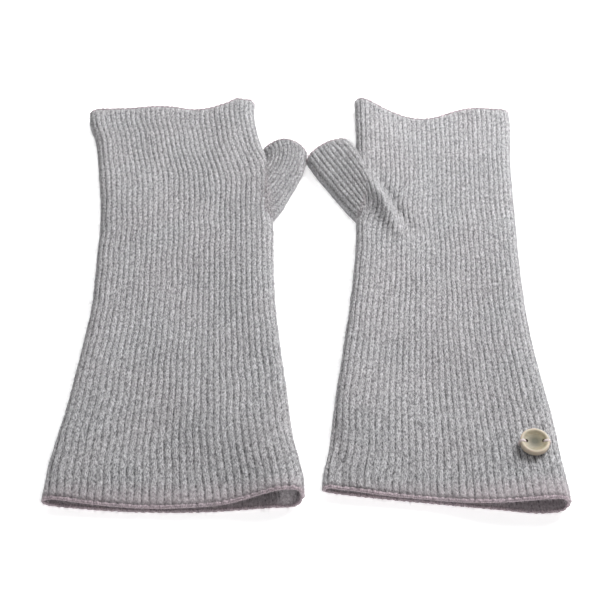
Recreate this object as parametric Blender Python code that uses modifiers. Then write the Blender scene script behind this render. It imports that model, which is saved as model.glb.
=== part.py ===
"""A pair of long rib-knit fingerless gloves, laid flat with the backs of the hands up.

Metres, +Z up, +Y towards the fingers, +X towards the right-hand glove. Each glove is a flattened
knitted tube, open at the finger mouth and at the flared cuff, with a short open thumb tube sewn
to its inner side. The knitted walls are plain shells here; the ribs are surface detail.
"""

import math

import bmesh
import bpy
import numpy as np
from mathutils import Vector

# ---------------------------------------------------------------- driving dimensions

WALL = 0.0020            # thickness of the knitted fabric
THICKNESS = 0.0120       # height of a glove lying flat, both layers and the air between them
GAP = 0.0003             # clearance between neighbouring pieces
RIM_RADIUS = 0.0009      # half thickness of a bound-off edge
RIM_GAP = 0.0008         # clearance between a bound-off edge and the end of its tube
SEAM_RADIUS = 0.0005     # half thickness of a seam's yarn
SEAM_GAP = 0.0006        # clearance between a seam's yarn and the fabric it joins

HAND_RINGS = 15          # sections along a hand tube
SIDE_STEPS = 6           # steps round each folded side of a section
HAND_FLAT_STEPS = 8      # steps across each flat face of a hand section
THUMB_FLAT_STEPS = 4     # steps across each flat face of a thumb section

# Rows of an outline: distance along the glove, its left side, its right side.
LEFT_OUTLINE = (
    (-0.1300, -0.1135, 0.0000),
    (-0.1200, -0.1138, -0.0002),
    (-0.1040, -0.1118, -0.0021),
    (-0.0770, -0.1080, -0.0059),
    (-0.0490, -0.1055, -0.0099),
    (-0.0200, -0.1030, -0.0126),
    (0.0160, -0.1036, -0.0138),
    (0.0380, -0.1041, -0.0145),
    (0.0600, -0.1062, -0.0145),
    (0.0780, -0.1092, -0.0148),
    (0.0860, -0.1105, -0.0190),
    (0.0990, -0.1126, -0.0251),
    (0.1200, -0.1165, -0.0265),
)
RIGHT_OUTLINE = (
    (-0.1300, 0.0102, 0.1165),
    (-0.1200, 0.0100, 0.1168),
    (-0.1100, 0.0104, 0.1164),
    (-0.0840, 0.0138, 0.1144),
    (-0.0570, 0.0175, 0.1110),
    (-0.0270, 0.0218, 0.1090),
    (0.0030, 0.0249, 0.1086),
    (0.0360, 0.0277, 0.1094),
    (0.0530, 0.0282, 0.1100),
    (0.0890, 0.0287, 0.1113),
    (0.1080, 0.0290, 0.1135),
    (0.1200, 0.0291, 0.1140),
)

# Rows of a mouth: place across it from -1 at the left side to 1 at the right, distance along.
LEFT_CUFF_MOUTH = ((-1.0, -0.1265), (-0.4, -0.1295), (0.4, -0.1295), (1.0, -0.1270))
LEFT_FINGER_MOUTH = ((-1.0, 0.1185), (-0.4, 0.1220), (0.1, 0.1200), (0.6, 0.1240), (1.0, 0.1290))
RIGHT_CUFF_MOUTH = ((-1.0, -0.1215), (-0.3, -0.1265), (0.4, -0.1290), (1.0, -0.1290))
RIGHT_FINGER_MOUTH = ((-1.0, 0.1270), (-0.6, 0.1190), (-0.2, 0.1140), (0.3, 0.1180), (1.0, 0.1200))

# Rows of a thumb: share of its length, outer edge x and y, inner edge x and y.
LEFT_THUMB = (
    (0.00, -0.0197, 0.0398, -0.0197, 0.0790),
    (0.08, -0.0182, 0.0398, -0.0182, 0.0790),
    (0.30, -0.0105, 0.0455, -0.0170, 0.0830),
    (0.55, -0.0045, 0.0560, -0.0172, 0.0865),
    (0.80, -0.0018, 0.0730, -0.0186, 0.0895),
    (0.92, 0.0000, 0.0856, -0.0206, 0.0921),
    (1.00, 0.0006, 0.0875, -0.0200, 0.0940),
)
RIGHT_THUMB = (
    (0.00, 0.0340, 0.0400, 0.0340, 0.0760),
    (0.08, 0.0325, 0.0400, 0.0325, 0.0760),
    (0.30, 0.0260, 0.0455, 0.0297, 0.0790),
    (0.55, 0.0190, 0.0560, 0.0277, 0.0840),
    (0.80, 0.0115, 0.0710, 0.0264, 0.0900),
    (0.92, 0.0055, 0.0823, 0.0250, 0.0943),
    (1.00, 0.0045, 0.0840, 0.0240, 0.0960),
)

# Where a thumb's sections lie, as shares of its length: straight at both ends.
THUMB_SHARES = (0.0, 0.08, 0.18, 0.30, 0.42, 0.55, 0.68, 0.80, 0.92, 1.0)

# Corners of the opening that the thumb leaves by, seen from above.
LEFT_THUMB_HOLE = (
    (-0.0200, 0.0393),
    (0.0100, 0.0393),
    (0.0100, 0.0965),
    (-0.0225, 0.0965),
    (-0.0204, 0.0912),
    (-0.0188, 0.0870),
    (-0.0187, 0.0834),
    (-0.0200, 0.0799),
)
RIGHT_THUMB_HOLE = (
    (0.0343, 0.0395),
    (0.0343, 0.0765),
    (0.0304, 0.0796),
    (0.0284, 0.0845),
    (0.0268, 0.0905),
    (0.0230, 0.1000),
    (0.0000, 0.1000),
    (0.0000, 0.0395),
)

BUTTON_PLACE = (0.1035, -0.1040)   # on the right glove's back, near the cuff's outer side
BUTTON_RADIUS = 0.0065
BUTTON_HEIGHT = 0.0030
BUTTON_LIFT = 0.0011               # air under the button, which lets it rock on its thread
BUTTON_HOLE_PLACE = 0.0039         # of each hole, from the centre
BUTTON_HOLE_RADIUS = 0.0009
THREAD_RADIUS = 0.00035


# ---------------------------------------------------------------- scene, groups and materials


def clear_scene():
    for obj in list(bpy.data.objects):
        bpy.data.objects.remove(obj, do_unlink=True)


def new_collection(name, hidden=False):
    group = bpy.data.collections.new(name)
    bpy.context.scene.collection.children.link(group)
    group.hide_render = hidden
    return group


def new_material(name, colour, roughness, sheen=0.0):
    material = bpy.data.materials.new(name)
    material.use_nodes = True
    shader = material.node_tree.nodes["Principled BSDF"]
    shader.inputs["Base Color"].default_value = (*colour, 1.0)
    shader.inputs["Roughness"].default_value = roughness
    shader.inputs["Metallic"].default_value = 0.0
    shader.inputs["Sheen Weight"].default_value = sheen
    return material


def new_object(name, data, group, material=None):
    obj = bpy.data.objects.new(name, data)
    group.objects.link(obj)
    if material:
        data.materials.append(material)
    return obj


def new_pivot(name, group, place, parent=None):
    """An empty that carries a body, on the axis that the body moves about."""
    pivot = new_object(name, None, group)
    pivot.location = place
    attach(pivot, parent)
    return pivot


def attach(obj, parent):
    """Parents obj without moving it."""
    bpy.context.view_layer.update()
    obj.parent = parent
    if parent:
        obj.matrix_parent_inverse = parent.matrix_world.inverted()


# ---------------------------------------------------------------- outlines and sections


def smooth(table, at):
    """The smooth curve through the rows of a table, whose first column rises, read at one place."""
    rows = np.array(table)
    places, values = rows[:, 0], rows[:, 1:]
    slopes = np.gradient(values, places, axis=0)
    i = int(np.clip(np.searchsorted(places, at) - 1, 0, len(places) - 2))
    span = places[i + 1] - places[i]
    t = min(max((at - places[i]) / span, 0.0), 1.0)
    ease = t * t * (3 - 2 * t)
    leave = t * (1 - t) ** 2 * span
    arrive = t * t * (t - 1) * span
    return (1 - ease) * values[i] + ease * values[i + 1] + leave * slopes[i] + arrive * slopes[i + 1]


def flattened_ring(half_width, thickness, flat_steps):
    """Points (across, up) round a flattened tube: half-round sides, flat top and bottom at up = 0."""
    radius = thickness / 2
    flat = half_width - radius
    points = []
    for side in (1, -1):
        for step in range(SIDE_STEPS + 1):
            turn = math.pi * (step / SIDE_STEPS - 0.5)
            across = side * (flat + radius * math.cos(turn))
            points.append((across, radius + side * radius * math.sin(turn)))
        for step in range(1, flat_steps):
            across = side * flat * (1 - 2 * step / flat_steps)
            points.append((across, radius + side * radius))
    return points


def hand_ring(outline, cuff_mouth, finger_mouth, share, inset=0.0, beyond=0.0):
    """One section of a hand tube, at a share of its length; inset shrinks it, beyond shifts it along."""
    first, last = outline[0][0], outline[-1][0]
    left, right = smooth(outline, first + share * (last - first))
    middle, half_width = (left + right) / 2, (right - left) / 2
    ring = []
    for across, up in flattened_ring(half_width - inset, THICKNESS - 2 * inset, HAND_FLAT_STEPS):
        place = across / half_width
        start = smooth(cuff_mouth, place)[0]
        end = smooth(finger_mouth, place)[0]
        ring.append((middle + across, start + share * (end - start) + beyond, up + inset))
    return ring


def thumb_ring(thumb, share, inset=0.0, beyond=0.0):
    """One section of a thumb tube, at a share of its length; inset shrinks it, beyond shifts it along."""
    values = smooth(thumb, share)
    outer, inner = Vector((*values[:2], 0)), Vector((*values[2:], 0))
    middle = (outer + inner) / 2
    width = inner - outer
    across = width.normalized()
    along = Vector((-across.y, across.x, 0))
    if along.y < 0:
        along = -along
    ring = []
    for a, up in flattened_ring(width.length / 2 - inset, THICKNESS - 2 * inset, THUMB_FLAT_STEPS):
        ring.append(middle + across * a + along * beyond + Vector((0, 0, up + inset)))
    return ring


# ---------------------------------------------------------------- pieces


def knitted_tube(name, rings, group, material):
    """An open tube through the rings, with the fabric's thickness on its inside."""
    mesh = bpy.data.meshes.new(name)
    work = bmesh.new()
    rows = [[work.verts.new(point) for point in ring] for ring in rings]
    count = len(rows[0])
    for row, following in zip(rows, rows[1:]):
        for i in range(count):
            j = (i + 1) % count
            work.faces.new((row[i], row[j], following[j], following[i]))
    work.normal_update()
    middle = THICKNESS / 2
    facing = sum((face.calc_center_median().z - middle) * face.normal.z for face in work.faces)
    if facing < 0:
        bmesh.ops.reverse_faces(work, faces=list(work.faces))
    work.to_mesh(mesh)
    work.free()
    mesh.shade_smooth()
    tube = new_object(name, mesh, group, material)
    wall = tube.modifiers.new("fabric thickness", "SOLIDIFY")
    wall.thickness = WALL
    wall.offset = -1.0
    wall.use_even_offset = True
    return tube


def yarn(name, points, radius, closed, group, material, sides=1):
    """A round yarn through the points."""
    curve = bpy.data.curves.new(name, "CURVE")
    curve.dimensions = "3D"
    curve.bevel_depth = radius
    curve.bevel_resolution = sides
    curve.use_fill_caps = not closed
    spline = curve.splines.new("POLY")
    spline.points.add(len(points) - 1)
    for control, point in zip(spline.points, points):
        control.co = (*point, 1.0)
    spline.use_cyclic_u = closed
    return new_object(name, curve, group, material)


def prism_cutter(name, corners, group):
    """A tall block on the given corners, which cuts through both layers of a glove."""
    mesh = bpy.data.meshes.new(name)
    work = bmesh.new()
    base = work.faces.new([work.verts.new((x, y, -THICKNESS)) for x, y in corners])
    made = bmesh.ops.extrude_face_region(work, geom=[base])
    top = [item for item in made["geom"] if isinstance(item, bmesh.types.BMVert)]
    bmesh.ops.translate(work, verts=top, vec=(0, 0, 3 * THICKNESS))
    bmesh.ops.recalc_face_normals(work, faces=list(work.faces))
    work.to_mesh(mesh)
    work.free()
    return hidden_cutter(new_object(name, mesh, group))


def round_cutter(name, place, radius, height, group):
    mesh = bpy.data.meshes.new(name)
    work = bmesh.new()
    bmesh.ops.create_cone(
        work, cap_ends=True, segments=16, radius1=radius, radius2=radius, depth=height
    )
    work.to_mesh(mesh)
    work.free()
    cutter = hidden_cutter(new_object(name, mesh, group))
    cutter.location = place
    return cutter


def hidden_cutter(cutter):
    cutter.hide_render = True
    cutter.display_type = "WIRE"
    return cutter


def cut(target, cutter):
    boolean = target.modifiers.new("cut " + cutter.name, "BOOLEAN")
    boolean.operation = "DIFFERENCE"
    boolean.object = cutter


def side_seam(name, outline, cuff_mouth, finger_mouth, side, group, material):
    """The linking yarn inside the folded side away from the thumb, from mouth to mouth."""
    inside = WALL + SEAM_GAP + SEAM_RADIUS
    points = []
    for step in range(HAND_RINGS):
        share = 0.02 + 0.96 * step / (HAND_RINGS - 1)
        ring = hand_ring(outline, cuff_mouth, finger_mouth, share, inset=inside)
        points.append((max if side > 0 else min)(ring, key=lambda point: point[0]))
    return yarn(name, points, SEAM_RADIUS, False, group, material, sides=2)


def thumb_seam(name, thumb, into_hand, group, material):
    """The joining yarn round the thumb hole, inside the hand tube."""
    inset = WALL + SEAM_GAP + SEAM_RADIUS
    points = [point + Vector((into_hand, 0, 0)) for point in thumb_ring(thumb, 0.0, inset=inset)]
    return yarn(name, points, SEAM_RADIUS, True, group, material)


def make_glove(hand, outline, cuff_mouth, finger_mouth, thumb, hole, group, cutters, wool):
    """One glove's pieces, as (those of its hand, those of its thumb). hand is left or right."""
    thumb_side = 1 if hand == "left" else -1
    shape = (outline, cuff_mouth, finger_mouth)

    rings = [hand_ring(*shape, step / (HAND_RINGS - 1)) for step in range(HAND_RINGS)]
    hand_tube = knitted_tube(hand + "_hand_tube", rings, group, wool["tube"])
    cut(hand_tube, prism_cutter(hand + "_thumb_hole", hole, cutters))

    rings = [thumb_ring(thumb, share) for share in THUMB_SHARES]
    thumb_tube = knitted_tube(hand + "_thumb_tube", rings, group, wool["thumb"])

    beyond = RIM_GAP + RIM_RADIUS
    inset = WALL / 2
    cuff_line = hand_ring(*shape, 0.0, inset=inset, beyond=-beyond)
    finger_line = hand_ring(*shape, 1.0, inset=inset, beyond=beyond)
    thumb_line = thumb_ring(thumb, 1.0, inset=inset, beyond=beyond)
    cuff_edge = yarn(hand + "_cuff_edge", cuff_line, RIM_RADIUS, True, group, wool["edge"])
    finger_edge = yarn(hand + "_finger_edge", finger_line, RIM_RADIUS, True, group, wool["edge"])
    thumb_edge = yarn(hand + "_thumb_edge", thumb_line, RIM_RADIUS, True, group, wool["edge"])

    link = side_seam(hand + "_side_seam", *shape, -thumb_side, group, wool["seam"])
    into_hand = -thumb_side * (2 * GAP + 2 * SEAM_RADIUS)
    join = thumb_seam(hand + "_thumb_seam", thumb, into_hand, group, wool["seam"])
    return [hand_tube, cuff_edge, finger_edge, link, join], [thumb_tube, thumb_edge]


def button_disc(group, cutters, material):
    """A dished button with a raised rim: a turned profile with two sewing holes."""
    rim = 0.0012
    dish = 0.0008
    profile = (
        (0.0, BUTTON_HEIGHT - dish),
        (BUTTON_RADIUS - 2.0 * rim, BUTTON_HEIGHT - dish),
        (BUTTON_RADIUS - 1.4 * rim, BUTTON_HEIGHT),
        (BUTTON_RADIUS - 0.5 * rim, BUTTON_HEIGHT),
        (BUTTON_RADIUS, BUTTON_HEIGHT - 0.5 * rim),
        (BUTTON_RADIUS, 0.7 * rim),
        (BUTTON_RADIUS - rim, 0.0),
        (0.0, 0.0),
    )
    mesh = bpy.data.meshes.new("button")
    edges = [(i, i + 1) for i in range(len(profile) - 1)]
    mesh.from_pydata([(x, 0, z) for x, z in profile], edges, [])
    disc = new_object("button", mesh, group, material)
    disc.location = (*BUTTON_PLACE, THICKNESS + BUTTON_LIFT)
    turn = disc.modifiers.new("turn", "SCREW")
    turn.steps = 32
    turn.render_steps = 32
    turn.use_merge_vertices = True
    turn.merge_threshold = 0.00001
    for name, side in (("left", -1), ("right", 1)):
        place = disc.location + Vector((side * BUTTON_HOLE_PLACE, 0, BUTTON_HEIGHT / 2))
        height = 2 * BUTTON_HEIGHT
        cut(disc, round_cutter("button_hole_" + name, place, BUTTON_HOLE_RADIUS, height, cutters))
    return disc


def button_stitch(name, side, group, material):
    """Thread that comes up through a hole, crosses the rim and goes down beside the button."""
    clear = GAP + THREAD_RADIUS
    floor = THICKNESS + BUTTON_LIFT
    over = floor + BUTTON_HEIGHT + clear
    outside = BUTTON_RADIUS + clear
    route = (
        (BUTTON_HOLE_PLACE, floor + 0.0003),
        (BUTTON_HOLE_PLACE, over - 0.0004),
        (BUTTON_HOLE_PLACE + 0.0005, over),
        (outside - 0.0008, over),
        (outside, over - 0.0008),
        (outside, floor + 0.0001),
    )
    x, y = BUTTON_PLACE
    points = [(x + side * out, y, up) for out, up in route]
    return yarn(name, points, THREAD_RADIUS, False, group, material, sides=2)


def centre_on_origin(root, objects):
    """Moves the root so that the middle of the pair's base is at the origin."""
    bpy.context.view_layer.update()
    graph = bpy.context.evaluated_depsgraph_get()
    low = Vector((math.inf,) * 3)
    high = Vector((-math.inf,) * 3)
    for obj in objects:
        evaluated = obj.evaluated_get(graph)
        mesh = evaluated.to_mesh()
        for vertex in mesh.vertices:
            place = evaluated.matrix_world @ vertex.co
            low = Vector(map(min, low, place))
            high = Vector(map(max, high, place))
        evaluated.to_mesh_clear()
    root.location = (-(low.x + high.x) / 2, -(low.y + high.y) / 2, -low.z)


def main():
    clear_scene()
    group = new_collection("rib_knit_fingerless_gloves")
    cutters = new_collection("cutters", hidden=True)
    wool = {
        "tube": new_material("rib_knit", (0.42, 0.41, 0.42), 0.95, sheen=0.3),
        "thumb": new_material("thumb_knit", (0.42, 0.41, 0.42), 0.95, sheen=0.3),
        "edge": new_material("bound_edge", (0.44, 0.41, 0.43), 0.95, sheen=0.3),
        "seam": new_material("seam_yarn", (0.36, 0.35, 0.36), 0.95),
    }
    horn = new_material("button_horn", (0.55, 0.52, 0.42), 0.3)
    thread = new_material("sewing_thread", (0.62, 0.55, 0.56), 0.8)

    left_parts, left_thumb_parts = make_glove(
        "left", LEFT_OUTLINE, LEFT_CUFF_MOUTH, LEFT_FINGER_MOUTH, LEFT_THUMB, LEFT_THUMB_HOLE,
        group, cutters, wool,
    )
    right_parts, right_thumb_parts = make_glove(
        "right", RIGHT_OUTLINE, RIGHT_CUFF_MOUTH, RIGHT_FINGER_MOUTH, RIGHT_THUMB, RIGHT_THUMB_HOLE,
        group, cutters, wool,
    )
    button_parts = [
        button_disc(group, cutters, horn),
        button_stitch("button_stitch_left", -1, group, thread),
        button_stitch("button_stitch_right", 1, group, thread),
    ]

    root = new_pivot("gloves_origin", group, (0, 0, 0))
    right_glove = new_pivot("right_glove_slide", group, (0.065, 0, 0), root)
    left_fold_place = (LEFT_THUMB[0][1], 0.060, THICKNESS)
    right_fold_place = (RIGHT_THUMB[0][1], 0.060, THICKNESS)
    left_fold = new_pivot("left_thumb_fold", group, left_fold_place, root)
    right_fold = new_pivot("right_thumb_fold", group, right_fold_place, right_glove)
    rock_place = (*BUTTON_PLACE, THICKNESS + BUTTON_LIFT / 2)
    button_rock = new_pivot("button_rock", group, rock_place, right_glove)

    bodies = (
        (root, left_parts),
        (left_fold, left_thumb_parts),
        (right_glove, right_parts),
        (right_fold, right_thumb_parts),
        (button_rock, button_parts),
    )
    for pivot, parts in bodies:
        for part in parts:
            attach(part, pivot)
    for cutter in cutters.objects:
        attach(cutter, button_rock if cutter.name.startswith("button") else root)
    centre_on_origin(root, [part for _, parts in bodies for part in parts])


main()
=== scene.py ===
# %% [markdown]
# # A pair of rib-knit fingerless gloves
#
# This lesson dresses a plain working model of two gloves in real knitted wool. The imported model
# already says how big everything is, what moves and where. Here each plain tube is replaced by a
# knitted one: ribs that run from the cuff to the fingers, soft folds, bound-off edges, seams, a
# halo of loose fibres and a horn button sewn on with thread.

import math

import bmesh
import bpy
import numpy as np
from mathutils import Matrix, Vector


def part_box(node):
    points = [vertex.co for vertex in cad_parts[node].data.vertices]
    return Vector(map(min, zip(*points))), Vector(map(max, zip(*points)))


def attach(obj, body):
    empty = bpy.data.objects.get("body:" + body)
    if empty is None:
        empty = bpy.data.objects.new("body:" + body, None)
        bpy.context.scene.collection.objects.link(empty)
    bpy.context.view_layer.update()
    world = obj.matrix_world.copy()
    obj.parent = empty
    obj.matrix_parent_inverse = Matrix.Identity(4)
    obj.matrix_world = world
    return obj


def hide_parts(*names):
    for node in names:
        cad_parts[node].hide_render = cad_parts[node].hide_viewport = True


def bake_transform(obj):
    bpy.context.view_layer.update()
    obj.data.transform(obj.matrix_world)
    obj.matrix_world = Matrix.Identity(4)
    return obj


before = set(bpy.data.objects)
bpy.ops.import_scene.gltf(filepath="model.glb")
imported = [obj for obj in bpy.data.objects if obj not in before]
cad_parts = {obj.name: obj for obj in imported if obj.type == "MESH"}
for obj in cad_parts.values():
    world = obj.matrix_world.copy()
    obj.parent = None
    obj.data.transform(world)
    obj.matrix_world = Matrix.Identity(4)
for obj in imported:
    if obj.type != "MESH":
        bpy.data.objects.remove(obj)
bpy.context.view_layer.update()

# %% [markdown]
# ## Camera, light and floor
#
# The gloves lie on a white table and are looked at from the cuff end, half way up. A long lens
# keeps them from spreading towards the viewer. The light is what a product table has: a bright room
# all round, one large lamp behind and to the right, which makes the far ends the brightest, a weak
# one behind and to the left, and a weak warm one in front. The table is white acrylic lit from
# below, which thins out every shadow. The Standard view keeps white white.

# %% Camera
MM = 0.001
LOOK_AT = Vector((1.5 * MM, -14 * MM, 0))
CAMERA_DISTANCE = 0.673
CAMERA_RISE = math.radians(50)
LENS_MM = 80.7

camera_data = bpy.data.cameras.new("camera")
camera_data.lens = LENS_MM
camera_data.sensor_width = 36
camera_data.clip_start = 0.05
camera = bpy.data.objects.new("camera", camera_data)
bpy.context.scene.collection.objects.link(camera)
towards_camera = Vector((0, -math.cos(CAMERA_RISE), math.sin(CAMERA_RISE)))
camera.location = LOOK_AT + towards_camera * CAMERA_DISTANCE
camera.rotation_euler = towards_camera.to_track_quat("Z", "Y").to_euler()
bpy.context.scene.camera = camera
print("camera at", [round(x, 3) for x in camera.location])


# %% Lamps and white room
ROOM_LIGHT = 0.325


def area_lamp(name, place, aim, size, watts, colour=(1, 1, 1)):
    lamp_data = bpy.data.lights.new(name, "AREA")
    lamp_data.shape = "DISK"
    lamp_data.size = size
    lamp_data.energy = watts
    lamp_data.color = colour
    lamp = bpy.data.objects.new(name, lamp_data)
    bpy.context.scene.collection.objects.link(lamp)
    lamp.location = place
    lamp.rotation_euler = (Vector(place) - Vector(aim)).to_track_quat("Z", "Y").to_euler()


area_lamp("key_lamp", (0.42, 0.38, 0.50), (0.02, 0.03, 0), 0.45, 8.0)
area_lamp("left_lamp", (-0.42, 0.42, 0.36), (-0.07, 0.09, 0), 0.4, 0.7)
area_lamp("front_lamp", (0.3, -0.9, 0.6), (0.05, -0.1, 0), 0.8, 0.8, (1.0, 0.88, 0.93))

world = bpy.data.worlds.new("white_room")
world.use_nodes = True
world.node_tree.nodes["Background"].inputs["Color"].default_value = (1.0, 1.0, 1.0, 1)
world.node_tree.nodes["Background"].inputs["Strength"].default_value = ROOM_LIGHT
bpy.context.scene.world = world
bpy.context.scene.view_settings.view_transform = "Standard"


# %% Floor
FLOOR_SIZE = 14
FLOOR_GLOW = 0.64


def new_finish(name):
    """A material with its node tree and its shader."""
    finish = bpy.data.materials.new(name)
    finish.use_nodes = True
    return finish, finish.node_tree, finish.node_tree.nodes["Principled BSDF"]


def plug(tree, node, inputs):
    """Fills a node's sockets, by name or number, with values or with outputs of other nodes."""
    for socket, value in inputs:
        if isinstance(value, bpy.types.NodeSocket):
            tree.links.new(value, node.inputs[socket])
        else:
            node.inputs[socket].default_value = value


bpy.ops.object.select_all(action="DESELECT")
bpy.ops.mesh.primitive_plane_add(size=FLOOR_SIZE, location=(0, 0, -0.1 * MM))
floor = bpy.context.object
floor.name = "floor"
table_top, table_tree, table_shader = new_finish("white_acrylic")
plug(table_tree, table_shader, (
    ("Base Color", (0.93, 0.93, 0.93, 1)),
    ("Roughness", 0.9),
    ("Emission Color", (1, 1, 1, 1)),
    ("Emission Strength", FLOOR_GLOW),
))
floor.data.materials.append(table_top)
print("floor laid")

# %% [markdown]
# ## Reading the plain tubes
#
# The knitting has to follow the tubes of the frame, so their outlines are measured and not typed.
# A ray is shot at the tube's folded side every few millimetres, half way up its height, and another
# set is shot at each mouth. Where the thumb leaves, the side is open, and there the outline runs a
# few millimetres outside the thumb's root, as the fold of the fabric does.

# %% Measure the outlines
TUBE_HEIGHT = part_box("left_hand_tube")[1].z
SHOULDER = 5 * MM           # how far the hand's fold runs outside the thumb's root
SIDE_STATIONS = 24
MOUTH_STATIONS = 15
MOUTH_SHARE = 0.93          # how far towards the folds a mouth is measured
CUFF_MARGIN = 10 * MM       # from each mouth to the first place where a side is measured
FINGER_MARGIN = 16 * MM
THUMB_MARGIN = 2 * MM       # past the thumb on both sides, where the side isn't measured
ROOT_END = 26 * MM          # below the thumb's top, where its root ends


def smooth(rows, at):
    """Values of the smooth curve through rows of (place, value), at an array of places."""
    rows = np.array(rows, float)
    places, values = rows[:, 0], rows[:, 1]
    slopes = np.gradient(values, places)
    at = np.clip(np.asarray(at, float), places[0], places[-1])
    i = np.clip(np.searchsorted(places, at) - 1, 0, len(places) - 2)
    span = places[i + 1] - places[i]
    t = (at - places[i]) / span
    ease = t * t * (3 - 2 * t)
    leave = t * (1 - t) ** 2 * span * slopes[i]
    arrive = t * t * (t - 1) * span * slopes[i + 1]
    return (1 - ease) * values[i] + ease * values[i + 1] + leave + arrive


def side_line(hand, side):
    """Rows of (y, x) along one folded side of a hand tube. side is 1 for its right, -1 for its left."""
    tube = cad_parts[hand + "_hand_tube"]
    low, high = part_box(tube.name)
    thumb_low, thumb_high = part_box(hand + "_thumb_tube")
    thumb_side = 1 if hand == "left" else -1
    root_x = thumb_low.x if hand == "left" else thumb_high.x
    rows = []
    for y in np.linspace(low.y + CUFF_MARGIN, high.y - FINGER_MARGIN, SIDE_STATIONS):
        if side == thumb_side and thumb_low.y - THUMB_MARGIN < y < thumb_high.y + THUMB_MARGIN:
            if y < thumb_high.y - ROOT_END:
                rows.append((y, root_x + side * SHOULDER))
            continue
        start = Vector((side * 1.0, y, TUBE_HEIGHT / 2))
        hit, place, _, _ = tube.ray_cast(start, Vector((-side, 0, 0)))
        if hit:
            rows.append((y, place.x))
    return rows


def mouth_line(hand, end):
    """Rows of (share across from -1 to 1, y) along one mouth. end is -1 for the cuff, 1 for the fingers."""
    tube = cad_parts[hand + "_hand_tube"]
    sides = [side_line(hand, side) for side in (-1, 1)]
    y = sides[0][0 if end < 0 else -1][0]
    left, right = (float(smooth(rows, y)) for rows in sides)
    rows = []
    for share in np.linspace(-MOUTH_SHARE, MOUTH_SHARE, MOUTH_STATIONS):
        x = (left + right) / 2 + share * (right - left) / 2
        hit, place, _, _ = tube.ray_cast(Vector((x, end * 1.0, 1 * MM)), Vector((0, -end, 0)))
        if hit:
            rows.append((share, place.y))
    return rows


for hand in ("left", "right"):
    print(hand, "glove:", len(side_line(hand, 1)), "side points, finger mouth at y",
          round(mouth_line(hand, 1)[0][1], 3))

# %% [markdown]
# ## A tube of knitting
#
# Rib fabric is a sheet pleated by its own stitches: columns of knit stitches stand up and hide the
# purl columns between them. A cylinder without ends is the natural start. It gets six points
# for each rib round it, and its long edges are subdivided into rows. Every point then remembers how
# many ribs round and how many rows along it is, so that the cylinder can be laid flat into any
# outline and the ribs still run true.

# %% Knitting sizes
RIBS_ROUND_HAND = 70
RIBS_ROUND_THUMB = 24
POINTS_PER_RIB = 6
HAND_ROWS = 102              # subdivide makes 100 cuts at most
THUMB_ROWS = 48
STITCH_LENGTH = 1.9 * MM
FABRIC = 1.1 * MM            # between the valleys of both faces
RIB_RELIEF = 0.78 * MM       # from a valley to the top of a rib
HALF_RELIEF = RIB_RELIEF / 2


def pick(piece):
    """Makes a piece the active one, and the only one selected."""
    bpy.ops.object.select_all(action="DESELECT")
    bpy.context.view_layer.objects.active = piece
    piece.select_set(True)


def select_where(piece, kind, wanted):
    """Selects, in edit mode, the edges or faces that wanted says yes to, and only those."""
    bpy.ops.mesh.select_mode(type=kind)
    bpy.ops.mesh.select_all(action="DESELECT")
    work = bmesh.from_edit_mesh(piece.data)
    for part in work.edges if kind == "EDGE" else work.faces:
        part.select_set(bool(wanted(part)))
    bmesh.update_edit_mesh(piece.data)


def reach_along(edge, axis):
    """How far an edge runs along an axis, 1 for Y and 2 for Z."""
    return abs(edge.verts[0].co[axis] - edge.verts[1].co[axis])


def leave_edit():
    if bpy.context.mode != "OBJECT":
        bpy.ops.object.mode_set(mode="OBJECT")


def round_tube(name, ribs, rows):
    """A unit cylinder along Y without ends, with a point for each place where a stitch column turns."""
    bpy.ops.object.select_all(action="DESELECT")
    bpy.ops.mesh.primitive_cylinder_add(
        vertices=ribs * POINTS_PER_RIB, radius=1, depth=1, end_fill_type="NOTHING",
        location=(0, 0.5, 0), rotation=(math.radians(-90), 0, 0),
    )
    tube = bpy.context.object
    tube.name = name
    tube.data.name = name
    bpy.ops.object.transform_apply(location=True, rotation=True, scale=True)
    bpy.ops.object.mode_set(mode="EDIT")
    select_where(tube, "EDGE", lambda edge: reach_along(edge, 1) > 0.5)
    bpy.ops.mesh.subdivide(number_cuts=rows - 2)
    leave_edit()
    return tube


def values_of(items, name, size=1, kind=np.float32):
    """One property of all of a mesh's points, corners or faces."""
    found = np.empty(len(items) * size, kind)
    items.foreach_get(name, found)
    return found.reshape(-1, size) if size > 1 else found


def places_of(mesh):
    return values_of(mesh.vertices, "co", 3).astype(float)


def normals_of(mesh):
    return values_of(mesh.vertices, "normal", 3).astype(float)


def put_places(mesh, places):
    mesh.vertices.foreach_set("co", np.asarray(places, np.float32).ravel())
    mesh.update()


def columns_and_rows(tube, ribs, rows):
    """Which column round and which row along each point of a round tube is."""
    places = places_of(tube.data)
    count = ribs * POINTS_PER_RIB
    turn = np.arctan2(places[:, 2], places[:, 0]) / (2 * math.pi)
    columns = np.round(turn * count).astype(int) % count
    return columns, np.round(places[:, 1] * (rows - 1)).astype(int)


# %% [markdown]
# ### A map that counts stitches
#
# The pattern of stitches must follow the ribs, not the world, so each tube gets a UV map called
# knit: U counts ribs and V counts stitches. The finish reads it later. A second map gives the same
# surface room of its own on a square, the outside apart from the inside.

# %% Stitch map
def remembered(mesh, name):
    return values_of(mesh.attributes[name].data, "value").astype(float)


def remember(mesh, name, values):
    """Keeps one number for each point, which stays with it through modifiers."""
    attribute = mesh.attributes.new(name, "FLOAT", "POINT")
    attribute.data.foreach_set("value", np.asarray(values, np.float32))


def corner_points(mesh):
    return values_of(mesh.loops, "vertex_index", kind=np.int32)


def add_map(mesh, name, u, v):
    layer = mesh.uv_layers.new(name=name)
    layer.data.foreach_set("uv", np.column_stack((u, v)).astype(np.float32).ravel())


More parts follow.
